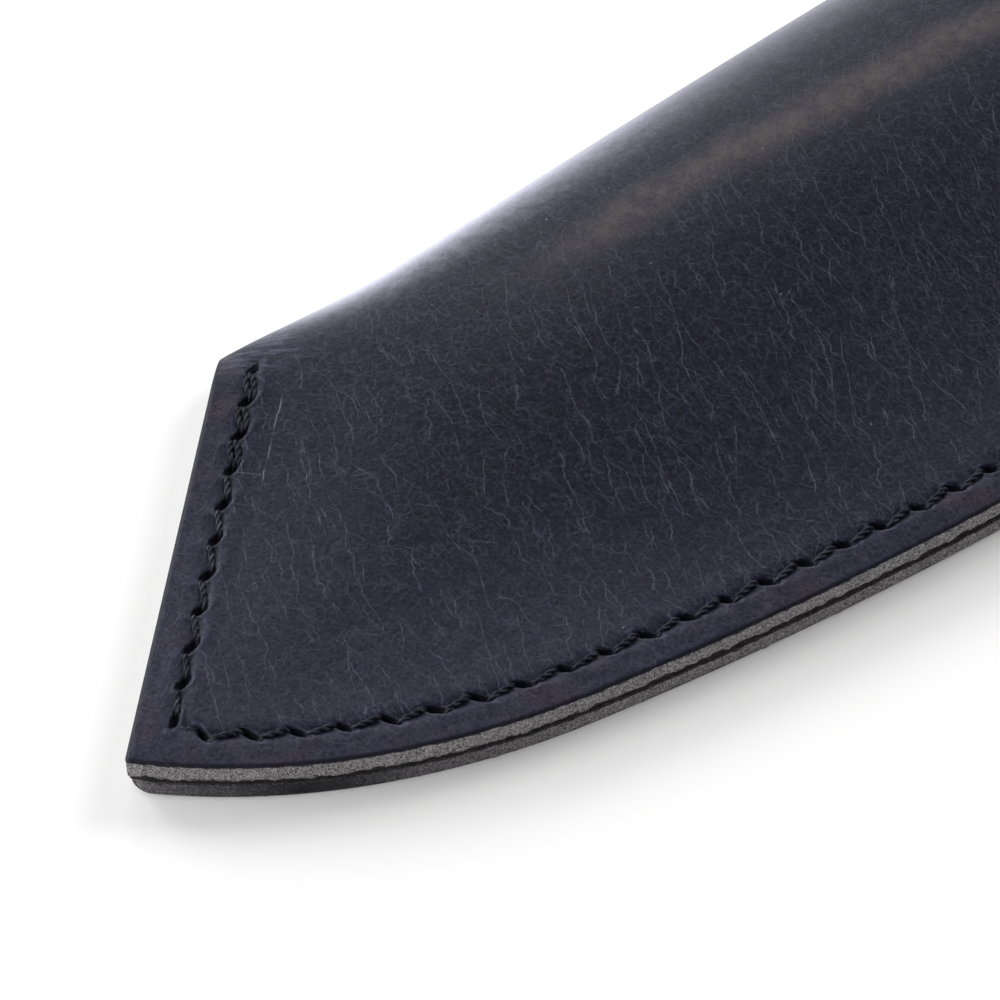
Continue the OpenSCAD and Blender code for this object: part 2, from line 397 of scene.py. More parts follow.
def cut_side(fold, edge, turn, low_rim, top_rim):
    """The rest of each ring: the front panel's raw edge, the flesh side, and the back panel's raw edge.

    A raw edge goes in levels from the rim to the flesh side, with seeded fuzz. The front's lower lip hangs
    down in ragged fibres over the welt, most at the tip.
    """
    rows = len(fold)
    plan, z, _ = wall(fold, edge, turn, HIDE_T, BACK_STEPS, PANEL_STEPS)
    n = plan.shape[1]
    pick = np.unique(np.append(np.arange(0, n, LINING_EVERY), n - 1))[::-1]
    plan, z = plan[:, pick], z[:, pick]
    lower = (z < EDGE_T / 2)[..., None]
    plan = np.where(lower, rounded_corner(plan, LOWER_CORNER), rounded_corner(plan, UPPER_CORNER))

    levels = len(EDGE_LEVELS)
    outward = unit(edge - fold)[:, None]
    fuzz = seeded_noise(rows, 2 * levels)
    bulge = np.linspace(0, 1, levels)[None, :, None]
    front = top_rim[:, None, :2] + outward * (FUZZ * fuzz[:, :levels, None] + 0.05 + 0.05 * bulge)
    front_z = top_rim[:, 2:] + (EDGE_T - HIDE_T - top_rim[:, 2:]) * EDGE_LEVELS
    at_tip = np.clip((25 - edge[:, :1]) / 35, 0.15, 1)
    lip = (0.24 + 0.13 * seeded_noise(rows, 1, 3)) * at_tip + 0.07 * seeded_noise(rows, 1, 0)
    front_z -= np.clip(lip, -0.05, 0.6) * EDGE_LEVELS**3
    back = low_rim[:, None, :2] + outward * (FUZZ * fuzz[:, levels:, None] + 0.03)
    back_z = low_rim[:, 2:] + (HIDE_T - low_rim[:, 2:]) * EDGE_LEVELS

    plan = np.concatenate([front, plan, back[:, ::-1]], axis=1)
    z = np.concatenate([front_z, z, back_z[:, ::-1]], axis=1)
    m = len(pick)
    depth = np.tile(np.concatenate([EDGE_LEVELS, np.ones(m), EDGE_LEVELS[::-1]]), (rows, 1))
    tone = np.tile(np.concatenate([np.ones(levels), np.full(m, 0.3), np.full(levels, 0.5)]), (rows, 1))
    tone[:, levels + m :] = np.interp(edge[:, :1], BAND_X, BAND_TONE)
    fields = {"raw": 1 + 0 * z, "depth": depth, "tone": tone, "stitch": 0 * z, "inward": 0 * z}
    fields.update({"offseam": 99 + 0 * z, "slit": 5 + 0 * z, "upper": 0 * z})
    return np.concatenate([plan, z[..., None]], axis=-1), fields


def joined(a, b, axis):
    """Two sets of points with their fields, put together along an axis."""
    points = np.concatenate([a[0], b[0]], axis=axis)
    return points, {k: np.concatenate([a[1][k], b[1][k]], axis=axis) for k in a[1]}


def raw_end(ring, outer, sign):
    """Rings with one more at their first or last end, a little further out, where the hide is cut through."""
    points, fields = ring
    grow = 0.05
    row, at = (0, 0) if sign < 0 else (len(points) - 1, len(points))
    step = sign * grow * unit(points[1] - points[0] if sign < 0 else points[-1] - points[-2])
    extra = points[row] + step * np.where(np.arange(points.shape[1]) < outer, 1.0, 0.5)[:, None]
    points = np.insert(points, at, extra, axis=0)
    fields = {k: np.insert(v, at, v[row], axis=0) for k, v in fields.items()}
    fields["raw"][at] = 1
    fields["depth"][at, :outer] = 0.1
    fields["offseam"][at] = 99
    return points, fields


def ring_faces(first, rows, size):
    """Quads between rings of equal size, whose points start at first."""
    i, j = np.meshgrid(np.arange(rows - 1), np.arange(size), indexing="ij")
    a, b = first + i * size + j, first + i * size + (j + 1) % size
    return np.stack([a, b, b + size, a + size], -1).reshape(-1, 4).tolist()


def stepped_faces(fine, fine_size, kept, coarse):
    """Faces from a ring of many points to one of few, whose points lie across from the kept ones."""
    size = len(kept)
    faces = []
    for j in range(size):
        stop = kept[j + 1] if j + 1 < size else fine_size
        run = [fine + v % fine_size for v in range(kept[j], stop + 1)]
        faces.append([*run, coarse + (j + 1) % size, coarse + j])
    return faces


def end_cap(base, outer, lining, flip):
    """Faces across a cut end, between all points of its outer wall and the fewer ones of its lining."""
    levels = len(EDGE_LEVELS)
    inner = [base + outer + levels + i for i in range(lining)][::-1]
    marks = np.round(np.linspace(0, outer - 1, lining)).astype(int)
    faces = [[*range(base + a, base + b + 1), q, p] for a, b, p, q in zip(marks, marks[1:], inner, inner[1:])]
    faces.append([*range(base + outer - 1, base + outer + levels), inner[-1]])
    faces.append([inner[0], *range(base + outer + levels + lining, base + outer + 2 * levels + lining), base])
    return faces if flip else [f[::-1] for f in faces]


def section_lines(distance):
    """Where a line at that distance from the tip cut, parallel to it, meets the fold and the belly."""
    x = np.linspace(TIP_OF_FOLD[0], FOLD_LEN / 2, 2000)
    f = np.stack([x, fold_y(x)], -1)
    s = np.linspace(0, belly_len() / 2, 2000)
    b = belly(s)[0]
    return np.interp(distance, f @ CUT_NORMAL, x), np.interp(distance, b @ CUT_NORMAL, s)


def build_hide(material):
    """The folded hide: close rings of many points along the tip cut, then lighter rings to the mouth."""
    x, s = section_lines(np.linspace(0, TIP_STRIP, STRIP_ROWS))
    u = np.linspace(0, 1, MAIN_ROWS)[1:]
    x = np.append(x, x[-1] + u * (FOLD_LEN - x[-1]))
    s = np.append(s, s[-1] + u * (belly_len() - s[-1]))
    edge, turn = belly(s)
    fold = np.stack([x, fold_y(x)], -1)
    strip, rest = slice(0, STRIP_ROWS), slice(STRIP_ROWS, None)
    fine = grain_side(fold[strip], edge[strip], turn[strip], FINE_BACK * BACK_STEPS, FINE_PANEL * PANEL_STEPS)
    coarse = grain_side(fold[rest], edge[rest], turn[rest], BACK_STEPS, PANEL_STEPS)
    rims = np.concatenate([fine[0][:, [0, -1]], coarse[0][:, [0, -1]]])
    inside = cut_side(fold, edge, turn, rims[:, 0], rims[:, 1])
    parts = [(inside[0][rows], {k: v[rows] for k, v in inside[1].items()}) for rows in (strip, rest)]
    n_fine, n_coarse = fine[0].shape[1], coarse[0].shape[1]
    fine = raw_end(joined(fine, parts[0], 1), n_fine, -1)
    coarse = raw_end(joined(coarse, parts[1], 1), n_coarse, 1)

    rows, size = fine[0].shape[:2]
    more_rows, more_size = coarse[0].shape[:2]
    rim = len(EDGE_STEPS)
    back = rim - 1 + FINE_BACK * np.arange(1, BACK_STEPS)
    fold_start = rim - 1 + FINE_BACK * BACK_STEPS
    fold_end = fold_start + FOLD_STEPS + SHOULDER_STEPS
    panel = fold_end - 1 + FINE_PANEL * np.arange(1, PANEL_STEPS)
    tail = np.arange(fold_end - 1 + FINE_PANEL * PANEL_STEPS, size)
    kept = [*range(rim), *back, *range(fold_start, fold_end), *panel, *tail]
    first = rows * size
    lining = more_size - n_coarse - 2 * len(EDGE_LEVELS)
    last = first + (more_rows - 1) * more_size
    faces = ring_faces(0, rows, size) + ring_faces(first, more_rows, more_size)
    faces += stepped_faces(first - size, size, [int(v) for v in kept], first)
    faces += end_cap(0, n_fine, lining, False) + end_cap(last, n_coarse, lining, True)
    points = np.concatenate([fine[0].reshape(-1, 3), coarse[0].reshape(-1, 3)])
    fields = {k: np.concatenate([fine[1][k].ravel(), coarse[1][k].ravel()]) for k in fine[1]}
    return mesh_piece("cover_hide", points, faces, fields, material, "cover_leather", "cover")


def placed(points):
    """Points in millimetres, put where the part's frame has them, in metres."""
    mouth_y = belly(belly_len())[0][1]
    shift = np.array([-(TIP_CORNER[0] + FOLD_LEN) / 2, -(FLARE + mouth_y) / 2, 0])
    return (points + shift) * MM


def signed_volume(points, faces):
    """Volume within a closed skin, below zero if its faces point inwards."""
    total = 0.0
    for f in faces:
        if len(f) != 4:
            p = points[f]
            total += (np.cross(p[1:-1], p[2:]) @ p[0]).sum()
    quads = points[np.array([f for f in faces if len(f) == 4])]
    for k in (1, 2):
        total += np.einsum("ij,ij->", np.cross(quads[:, k], quads[:, k + 1]), quads[:, 0])
    return total / 6


def mesh_piece(name, points, faces, fields, material, slot, *nodes):
    """A mesh object from points in millimetres, which rides on the root and stands for CAD nodes."""
    if signed_volume(points, faces) < 0:
        faces = [f[::-1] for f in faces]
    mesh = bpy.data.meshes.new(name)
    mesh.from_pydata(placed(points).tolist(), [], faces)
    for field, values in fields.items():
        layer = mesh.attributes.new(field, "FLOAT", "POINT")
        layer.data.foreach_set("value", values.astype(np.float32))
    mesh.polygons.foreach_set("use_smooth", np.ones(len(faces), bool))
    mesh.materials.append(material)
    mesh.update()
    piece = bpy.data.objects.new(name, mesh)
    bpy.context.scene.collection.objects.link(piece)
    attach(piece, "root")
    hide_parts(*nodes)
    return piece


# Welt: a strip between the panels, whose raw outer side shows in the edge


def build_welt(material):
    """A flat strip between two offset outlines, its outer side roughened by seeded noise."""
    n_cut, n_belly = 120, 620
    y = TIP_OF_FOLD[1] - HIDE_T - 0.05
    lines = []
    for inset in (WELT_RECESS, WELT_W):
        start = np.array([(y * math.cos(CUT_ANGLE) + inset) / math.sin(CUT_ANGLE), y])
        corner = belly(np.array([inset]), inset)[0]
        run = np.linspace(0, 1, n_cut, endpoint=False)[:, None]
        end = belly_len(inset) - WELT_RECESS
        along = belly(inset + np.linspace(0, 1, n_belly) * (end - inset), inset)[0]
        lines.append(np.concatenate([start + (corner - start) * run, along]))
    outer, inner = lines
    rows = len(outer)
    out = unit(outer - inner)
    levels = np.linspace(0, 1, 6)
    side = outer[:, None] + out[:, None] * (0.07 * seeded_noise(rows, len(levels)))[..., None]
    z_side = np.tile(HIDE_T + WELT_T * levels, (rows, 1))
    plan = np.concatenate([side, inner[:, None], inner[:, None]], axis=1)
    z = np.concatenate([z_side, np.full((rows, 1), HIDE_T + WELT_T), np.full((rows, 1), HIDE_T)], axis=1)
    points = np.concatenate([plan, z[..., None]], axis=-1)
    size = points.shape[1]
    faces = ring_faces(0, rows, size)
    faces += [list(range(size))[::-1], list(range((rows - 1) * size, rows * size))]
    return mesh_piece("welt_strip", points.reshape(-1, 3), faces, {}, material, "welt_leather", "welt")


# Threads: three plies twisted together, one stitch after another


# Points round a thread, and the distance between its rings
THREAD_SIDES = 18
RING_STEP = 0.1

# Plies, and how far their circles lie from the middle as a share of the thread's radius
PLIES = 3
PLY_SHIFT = 0.5

# Stitches sewn twice at each end of the seam, and how far their two strands part
TACKED = 3
SPLAY = 0.36

# Where a stitch leaves its slit and enters the next, as shares of their half lengths
LEAVES_AT = 0.8
ENTERS_AT = 0.75

# How far a thread's middle is sunk in the front panel or raised off the table, and how deep it goes in a slit
NEEDLE_SINK = 0.08
BOBBIN_RISE = 0.06
THREAD_DIP = 1.2
CORNER_SINK = 0.24


def stitch_tube(start, end, z_mid, z_dip, splay, phase, size):
    """One stitch from hole to hole: a tube whose outline is three overlapping circles that turn along it.

    Its middle lies at z_mid, and both ends go down by the eighth power of the way from the middle, to z_dip.
    A doubled stitch's strands part in a parabola, each by its splay.
    """
    flat = np.linalg.norm(end - start)
    rings = int((flat + 2 * abs(z_mid - z_dip)) / RING_STEP)
    w = np.linspace(-1, 1, rings)
    w = np.sign(w) * np.abs(w) ** 0.8
    way_in = (w[:, None] + 1) / 2
    left = left_of(unit(end - start))
    plan = start + (end - start) * way_in + splay * (0.35 + 0.65 * (1 - w[:, None] ** 2)) * left
    centre = np.concatenate([plan, (z_mid + (z_dip - z_mid) * w[:, None] ** 8)], axis=1)
    t = unit(np.gradient(centre, axis=0))
    n = np.append(left, 0.0)
    m = np.cross(t, n)
    way = np.append(0, np.cumsum(np.linalg.norm(np.diff(centre, axis=0), axis=1)))
    a = np.linspace(0, 2 * np.pi, THREAD_SIDES, endpoint=False)
    turned = a[None] - (2 * np.pi * way / TWIST + phase)[:, None]
    share = np.pi / PLIES
    off_ply = (turned + share) % (2 * share) - share
    ply = 1 - PLY_SHIFT
    r = PLY_SHIFT * np.cos(off_ply) + np.sqrt(ply**2 - (PLY_SHIFT * np.sin(off_ply)) ** 2)
    r = r * size / 2
    r[[0, -1]] *= 0.1
    ring = r[..., None] * (np.cos(a)[None, :, None] * n + np.sin(a)[None, :, None] * m[:, None])
    points = (centre[:, None] + ring).reshape(-1, 3)
    faces = ring_faces(0, rings, THREAD_SIDES)
    last = (rings - 1) * THREAD_SIDES
    faces += [list(range(THREAD_SIDES))[::-1], list(range(last, last + THREAD_SIDES))]
    crown = (1 - np.abs(off_ply) / share).ravel()
    return points, faces, crown


def build_thread(name, node, z_mid, z_dip, material):
    """All stitches of one thread, from slit to slit, with the first and the last three sewn twice."""
    points, faces, crowns, wear_and_glint_shares = [], [], [], []
    count = len(HOLES) - 1
    base = 0
    for i in range(count):
        doubled = i < TACKED or i >= count - TACKED
        corner = i == CUT_HOLES - 1
        for strand in (-1, 1) if doubled else (0,):
            a = HOLES[i] + LEAVES_AT * SLIT_LENGTHS[i] * SLIT_DIRS[i]
            b = HOLES[i + 1] - ENTERS_AT * SLIT_LENGTHS[i + 1] * SLIT_DIRS[i + 1]
            low = np.sign(z_dip - z_mid) * (CORNER_SINK if corner else rng.uniform(-0.02, 0.08))
            single_on_cut = TACKED <= i < CUT_HOLES
            size = THREAD_D * (1.15 if i == CUT_HOLES else rng.uniform(0.94, 1.04) - 0.1 * single_on_cut)
            p, f, c = stitch_tube(a, b, z_mid + low, z_dip, strand * SPLAY, rng.uniform(0, 2 * np.pi), size)
            points.append(p)
            faces += [[v + base for v in face] for face in f]
            crowns.append(c)
            # Share of pale worn fibres and painted glints on the thread: full on the single stitches along
            # the tip cut
            wear_and_glint_shares.append(np.full(len(p), 1.0 if single_on_cut else 0.45))
            base += len(p)
    fields = {"crown": np.concatenate(crowns), "wear_and_glint": np.concatenate(wear_and_glint_shares)}
    return mesh_piece(name, np.concatenate(points), faces, fields, material, "thread", node)


# Materials


class Field:
    """A number that varies over a surface: a node's socket, whose sums and products add Math nodes."""

    def __init__(self, graph, socket):
        self.graph, self.socket = graph, socket

    def math(self, operation, other=0.0):
        return self.graph.add("ShaderNodeMath", {"operation": operation}, [self, other])

    def __add__(self, other):
        return self.math("ADD", other)

    __radd__ = __add__

    def __mul__(self, other):
        return self.math("MULTIPLY", other)

    __rmul__ = __mul__

    def __sub__(self, other):
        return self.math("SUBTRACT", other)

    def __rsub__(self, other):
        return self.graph.add("ShaderNodeMath", {"operation": "SUBTRACT"}, [other, self])

    def __truediv__(self, other):
        return self.math("DIVIDE", other)

    def __pow__(self, other):
        return self.math("POWER", other)

    def __abs__(self):
        return self.math("ABSOLUTE")

    def step(self, low, high):
        """0 below low, 1 above high and a smooth step between; the other way round if low is the larger."""
        inputs = {"Value": self, "From Min": low, "From Max": high}
        return self.graph.add("ShaderNodeMapRange", {"interpolation_type": "SMOOTHSTEP"}, inputs)

    def bell(self, middle, width):
        """1 at the middle, falling to 0 at that distance from it."""
        return abs(self - middle).step(width, 0.0)


class Graph:
    """A material's nodes."""

    def __init__(self, name):
        self.material = bpy.data.materials.new(name)
        self.material.use_nodes = True
        self.nodes, self.links = self.material.node_tree.nodes, self.material.node_tree.links
        self.nodes.clear()

    def add(self, kind, settings=None, inputs=None, output=0):
        """Adds a node with its settings, then the values or links of its sockets, and returns one output."""
        node = self.nodes.new(kind)
        for key, value in (settings or {}).items():
            setattr(node, key, value)
        pairs = enumerate(inputs) if isinstance(inputs, list) else (inputs or {}).items()
        for key, value in pairs:
            if isinstance(value, Field):
                self.links.new(value.socket, node.inputs[key])
            else:
                node.inputs[key].default_value = value
        return Field(self, node.outputs[output]) if node.outputs else None

    def place(self, scale=(1, 1, 1), turn=0.0):
        """Object coordinates in millimetres, turned about Z and scaled."""
        where = self.add("ShaderNodeTexCoord", output="Object")
        mm = tuple(v / MM for v in scale)
        turned = self.add("ShaderNodeMapping", None, {"Vector": where, "Rotation": (0, 0, turn)})
        return self.add("ShaderNodeMapping", None, {"Vector": turned, "Scale": mm})

    def plan_axes(self):
        """The two plan axes that the outline's functions use, in millimetres."""
        where = self.add("ShaderNodeTexCoord", output="Object")
        origin = placed(np.zeros(3))
        x, y = (self.add("ShaderNodeSeparateXYZ", None, {"Vector": where}, axis) for axis in "XY")
        return (x - float(origin[0])) / MM, (y - float(origin[1])) / MM

    def attribute(self, name):
        return self.add("ShaderNodeAttribute", {"attribute_name": name}, output="Fac")

    def noise(self, where, scale, detail=2.0, rough=0.5):
        inputs = {"Vector": where, "Scale": scale, "Detail": detail, "Roughness": rough}
        return self.add("ShaderNodeTexNoise", None, inputs)

    def warped(self, where, scale, amount):
        """Coordinates pushed about by noise."""
        inputs = {"Vector": where, "Scale": scale, "Detail": 2.0}
        noise = self.add("ShaderNodeTexNoise", None, inputs, "Color")
        centred = self.add("ShaderNodeVectorMath", {"operation": "SUBTRACT"}, [noise, (0.5, 0.5, 0.5)])
        inputs = {"Vector": centred, "Scale": amount}
        pushed = self.add("ShaderNodeVectorMath", {"operation": "SCALE"}, inputs)
        return self.add("ShaderNodeVectorMath", {"operation": "ADD"}, [where, pushed])

    def cracks(self, where, scale, width):
        """1 on the borders of random cells, 0 at a distance from them."""
        inputs = {"Vector": where, "Scale": scale}
        edge = self.add("ShaderNodeTexVoronoi", {"feature": "DISTANCE_TO_EDGE"}, inputs)
        return edge.step(width, 0.0)

    def mix(self, factor, a, b):
        """Colour a where factor is 0 and b where it is 1."""
        node = self.nodes.new("ShaderNodeMix")
        node.data_type = "RGBA"
        sockets = [node.inputs[i] for i in (0, 6, 7)]
        for socket, value in zip(sockets, (factor, a, b), strict=True):
            if isinstance(value, Field):
                self.links.new(value.socket, socket)
            else:
                socket.default_value = value
        return Field(self, node.outputs[2])

    def finish(self, colour, roughness, height, bump_mm, **constants):
        """Principled shader with a bump of that height in millimetres, wired to the output."""
        bump = {"Strength": 1.0, "Distance": bump_mm * MM, "Height": height}
        normal = self.add("ShaderNodeBump", None, bump)
        inputs = {"Base Color": colour, "Roughness": roughness, "Normal": normal}
        inputs.update({k.replace("_", " "): v for k, v in constants.items()})
        shader = self.add("ShaderNodeBsdfPrincipled", None, inputs)
        self.add("ShaderNodeOutputMaterial", None, {"Surface": shader})
        return self.material


def srgb(r, g, b):
    """Linear colour of an sRGB one given in 0 to 255."""
    channels = [v / 255 for v in (r, g, b)]
    return (*[v / 12.92 if v <= 0.04045 else ((v + 0.055) / 1.055) ** 2.4 for v in channels], 1.0)


# Direction of the main creases in degrees, and the half width of a crease
CREASE_TURN = -71
CREASE_HALF_W = 0.1


def crease_family(g, turn, apart, share):
    """Wavy lines at one angle, in broken lengths: where (distance across + noise) / apart is halfway between
    whole numbers. share is the noise level above which a line shows.
    """
    where = g.place(turn=math.radians(turn))
    across = g.add("ShaderNodeSeparateXYZ", None, {"Vector": where}, "Y")
    bend = g.noise(where, 0.16) * (2.2 * apart) + g.noise(where, 1.3, 2.0, 0.5) * 0.6
    off = abs(((across + bend) / apart).math("FRACT") - 0.5) * apart
    lengths = g.noise(g.place(turn=math.radians(turn), scale=(0.16, 0.5, 1)), 1.0, 2.0)
    return off.step(CREASE_HALF_W, 0.0) * lengths.step(share, share + 0.1)


def grain(g):
    """Creases that run mostly across the fold, a finer net between them, pebbles and pores."""
    plain = g.place()
    steeper = crease_family(g, CREASE_TURN + 5, 1.7, 0.46)
    long_lines = steeper.math("MAXIMUM", crease_family(g, CREASE_TURN - 12, 2.1, 0.47))
    flatter = crease_family(g, CREASE_TURN - 58, 1.9, 0.53)
    branches = flatter.math("MAXIMUM", crease_family(g, CREASE_TURN - 30, 1.5, 0.51))
    finer = g.warped(g.place(turn=math.radians(CREASE_TURN), scale=(0.75, 1, 1)), 1.6, 0.6)
    net = g.cracks(finer, 0.85, 0.07) * 0.8 + g.cracks(finer, 1.7, 0.13) * 0.4
    pebble = g.add("ShaderNodeTexVoronoi", {"feature": "SMOOTH_F1"}, {"Vector": finer, "Scale": 2.6})
    pores = g.add("ShaderNodeTexVoronoi", None, {"Vector": plain, "Scale": 2.2}).step(0.15, 0.05)
    return long_lines, branches, net, pebble, pores


def foot_mark(g, plain, x, y):
    """The presser foot's dent beside the first stitches: a broken line along the seam and two bars across."""
    across = x * CUT_NORMAL[0] + y * CUT_NORMAL[1]
    along = x * CUT_DIR[0] + y * CUT_DIR[1]
    wobble = g.noise(plain, 0.3) * 0.7 + g.noise(plain, 2.0) * 0.1 - 0.4
    run = along.step(MARK_START - 0.5, MARK_START + 2.5) * along.step(MARK_END + 1, MARK_END - 1)
    line = (across + wobble).bell(MARK_IN, 0.1) * run * (0.15 + 0.85 * g.noise(plain, 0.42).step(0.48, 0.56))
    inner = across.step(SEAM_INSET, SEAM_INSET + 0.6) * across.step(MARK_IN + 0.1, MARK_IN - 0.3)
    bars = [along.bell(at, 0.09) * inner * share for at, share in zip(MARK_BARS, (0.5, 0.25), strict=True)]
    return line + bars[0] + bars[1]


def dye_and_painted_sheen(g, plain, x, y, inward, crest_off, by_fold):
    """Colour of the dye, deep blue with warmer patches, with painted reflection paling it towards the edges
    and painted sheen just below the crest.
    """
    patches = g.noise(plain, 0.05, 2.0) * 0.5 + g.noise(plain, 0.3, 3.0, 0.6) * 0.5
    colour = g.mix(patches.step(0.47, 0.62), srgb(7, 13, 29), srgb(17, 14, 25))
    by_corner = (y + 0.3 * x).step(-8.0, -30.0) * x.step(30.0, -2.0)
    # Painted reflection: paler within a few centimetres of the edges, most near the tip corner
    painted_edge_reflection = inward.step(19.0, 3.0) * 0.17 + inward.step(27.0, 5.0) * by_corner * 0.68
    colour = g.mix(painted_edge_reflection, colour, srgb(44, 43, 58))
    # Painted sheen in a band just below the crest
    return g.mix(by_fold * crest_off.step(4.0, 0.0) * 0.29, colour, srgb(66, 62, 72))


def pinched_streaks(g, x, y):
    """Streaks where the fold is pinched flat, within a few millimetres of a point by the first stitches."""
    pinched = ((x - 4.5) ** 2.0 + (y - 0.5) ** 2.0).step(30.0, 6.0)
    where = g.place(turn=math.radians(38), scale=(0.22, 1.6, 1))
    return g.noise(where, 1.0, 3.0, 0.6).step(0.45, 0.6) * pinched


def painted_fold_sheen(g, plain, x, y):
    """Pale sheen painted into the colour on the fold's shoulder where it is seen at a grazing angle,
    strongest near the tip.
    """
    facing = g.add("ShaderNodeLayerWeight", {}, {"Blend": 0.5}, "Facing")
    grazing = (facing + g.noise(plain, 0.9, 3.0, 0.7) * 0.12).step(0.41, 0.84)
    along = x.step(2.0, 16.0) * (0.4 + 0.6 * x.step(62.0, 26.0))
    return grazing * y.step(-9.0, -4.0) * g.attribute("upper") * along


def crest_wear_and_highlight(g, plain, x, crest_off):
    """Band along the front panel's crest, broken up by noise: partly wear, partly a painted highlight."""
    band = crest_off.bell(0.0, RIDGE_W) * x.step(22.0, 42.0) * x.step(118.0, 93.0)
    return band * (0.45 + 0.55 * g.noise(plain, 0.55, 4.0, 0.7).step(0.36, 0.62))


def seam_marks(g, plain, colour):
    """The colour with painted shade in the seam's groove and in its slits, pale lips round the slits, and the
    slits alone.
    """
    rag = g.noise(plain, 2.4, 3.0, 0.6) * 0.9 - 0.45
    out = g.attribute("slit") + rag
    slit = out.step(1.15, 0.9)
    lip = out.bell(1.55, 0.4)
    stitch, last = g.attribute("stitch"), len(HOLES) - 1
    sewn = stitch.step(-0.1, 0.0) * stitch.step(last + 0.1, last)
    # Painted shade along the seam's groove, where the thread lies sunk
    painted_groove_shade = (abs(g.attribute("offseam")) + rag * 0.5).step(0.75, 0.25) * sewn
    colour = g.mix(painted_groove_shade * 0.65, colour, srgb(7, 8, 17))
    colour = g.mix(lip * g.noise(plain, 1.5).step(0.42, 0.6) * 0.3, colour, srgb(88, 92, 112))
    # Slits: near-black painted shade inside the needle holes
    return g.mix(slit, colour, srgb(2, 2, 8)), slit


def raw_edge(g, plain):
    """Colour and height of a cut edge: grey fibres and specks, and dark dye along the grain side."""
    fibre = g.noise(plain, 3.6, 4.0, 0.8)
    specks = g.noise(plain, 7.0, 3.0, 0.8)
    colour = g.mix(fibre.step(0.38, 0.62), srgb(84, 81, 82), srgb(158, 155, 156))
    colour = g.mix(specks.step(0.52, 0.66) * 0.8, colour, srgb(212, 209, 208))
    colour = g.mix(specks.step(0.48, 0.34) * 0.8, colour, srgb(40, 39, 42))
    colour = g.mix(1 - g.attribute("tone"), colour, srgb(22, 24, 30))
    dyed = (g.attribute("depth") + fibre * 0.16).step(0.15, 0.06)
    return g.mix(dyed, colour, srgb(16, 16, 22)), fibre * 2.4 + specks * 1.8


def hide_material():
    """Dark blue full-grain hide with creases, pores, flecks and raw grey edges; painted sheen near the fold
    and edges, a crest band of wear and painted highlight, and painted shade in the seam's groove and slits.
    """
    g = Graph("dyed_hide")
    plain = g.place()
    x, y = g.plan_axes()
    inward = g.attribute("inward")
    margin = inward.step(3.6, 2.8)
    long_lines, branches, net, pebble, pores = grain(g)
    long_lines = long_lines * (1 - margin * 0.75)
    mottle = g.noise(plain, 0.9, 3.0, 0.6)
    grit = g.noise(plain, 2.8, 2.0, 0.6)
    crest_line = RIDGE_LOW - RIDGE_SLOPE * x + RIDGE_BEND * x**2.0
    crest_off = y + crest_line + g.noise(plain, 0.12) * 2.0 - 1.0
    by_fold = crest_off.step(-11.0, -1.0) * x.step(6.0, 36.0)

    colour = dye_and_painted_sheen(g, plain, x, y, inward, crest_off, by_fold)
    colour = g.mix(mottle.step(0.4, 0.7) * 0.45, colour, srgb(23, 26, 41))
    colour = g.mix(pebble.step(0.25, 0.7) * 0.3, colour, srgb(31, 34, 50))
    colour = g.mix(margin * 0.2, colour, srgb(46, 46, 64))
    colour = g.mix(margin * g.noise(plain, 0.22, 3.0).step(0.45, 0.65) * 0.4, colour, srgb(56, 46, 52))
    colour = g.mix(grit.step(0.5, 0.72) * 0.25, colour, srgb(58, 61, 76))
    colour = g.mix(grit.step(0.5, 0.3) * 0.6, colour, srgb(5, 6, 15))

    streaks = pinched_streaks(g, x, y)
    # Pale violet on the streaks: painted sheen on the wrinkles of the pinched fold
    colour = g.mix(streaks * 0.5, colour, srgb(92, 90, 112))
    crinkle = net * (0.4 + 0.1 * by_fold) * g.noise(plain, 0.7, 2.0).step(0.35, 0.65)
    lines = (long_lines + branches * 0.5).math("MINIMUM", 1.0) * g.noise(plain, 0.8, 2.0).step(0.3, 0.7)
    lines = (lines * (1 - by_fold * 0.4) + crinkle).math("MINIMUM", 1.0)
    colour = g.mix(lines * 0.34, colour, srgb(96, 100, 118))
    # Painted sheen: pale lilac mixed into the colour where the fold's shoulder is seen at a grazing angle
    colour = g.mix(painted_fold_sheen(g, plain, x, y) * (0.65 + 0.35 * grit), colour, srgb(210, 208, 226))
    colour = g.mix(pores * 0.3, colour, srgb(8, 9, 16))

    # Crest band: warm pale colour, partly wear and partly a painted highlight
    wear_and_highlight = crest_wear_and_highlight(g, plain, x, crest_off)
    colour = g.mix(wear_and_highlight * 0.7, colour, srgb(83, 78, 74))
    flecks = g.add("ShaderNodeTexVoronoi", None, {"Vector": plain, "Scale": 0.4}).step(0.045, 0.02)
    colour = g.mix(flecks * g.noise(plain, 0.5).step(0.54, 0.6), colour, srgb(120, 118, 120))
    mark = foot_mark(g, plain, x, y)
    colour = g.mix(mark * 0.6, colour, srgb(116, 118, 134))
    colour = g.mix(inward.step(0.45, 0.15) * 0.7, colour, srgb(12, 12, 18))
    colour, slit = seam_marks(g, plain, colour)

    raw = g.attribute("raw")
    smooth = 1 - raw
    edge_colour, edge_height = raw_edge(g, plain)
    colour = g.mix(raw, colour, edge_colour)
    grain_height = pebble * 0.7 - net * 0.25 + long_lines * 0.5 + branches * 0.3 - pores * 0.4 + grit * 0.2
    height = smooth * (grain_height + streaks - slit * 3.0 + mark * 0.5) + raw * edge_height
    roughness = smooth * (0.38 + mottle * 0.14 + wear_and_highlight * 0.08) + raw * 0.92 + slit * 0.4
    gloss = {"Specular_IOR_Level": 0.2, "Specular_Tint": (0.8, 0.8, 1.0, 1.0)}
    velvet = {"Sheen_Weight": 0.03, "Sheen_Roughness": 0.25, "Sheen_Tint": (0.72, 0.68, 1.0, 1.0)}
    return g.finish(colour, roughness, height, 0.05, **gloss, **velvet)


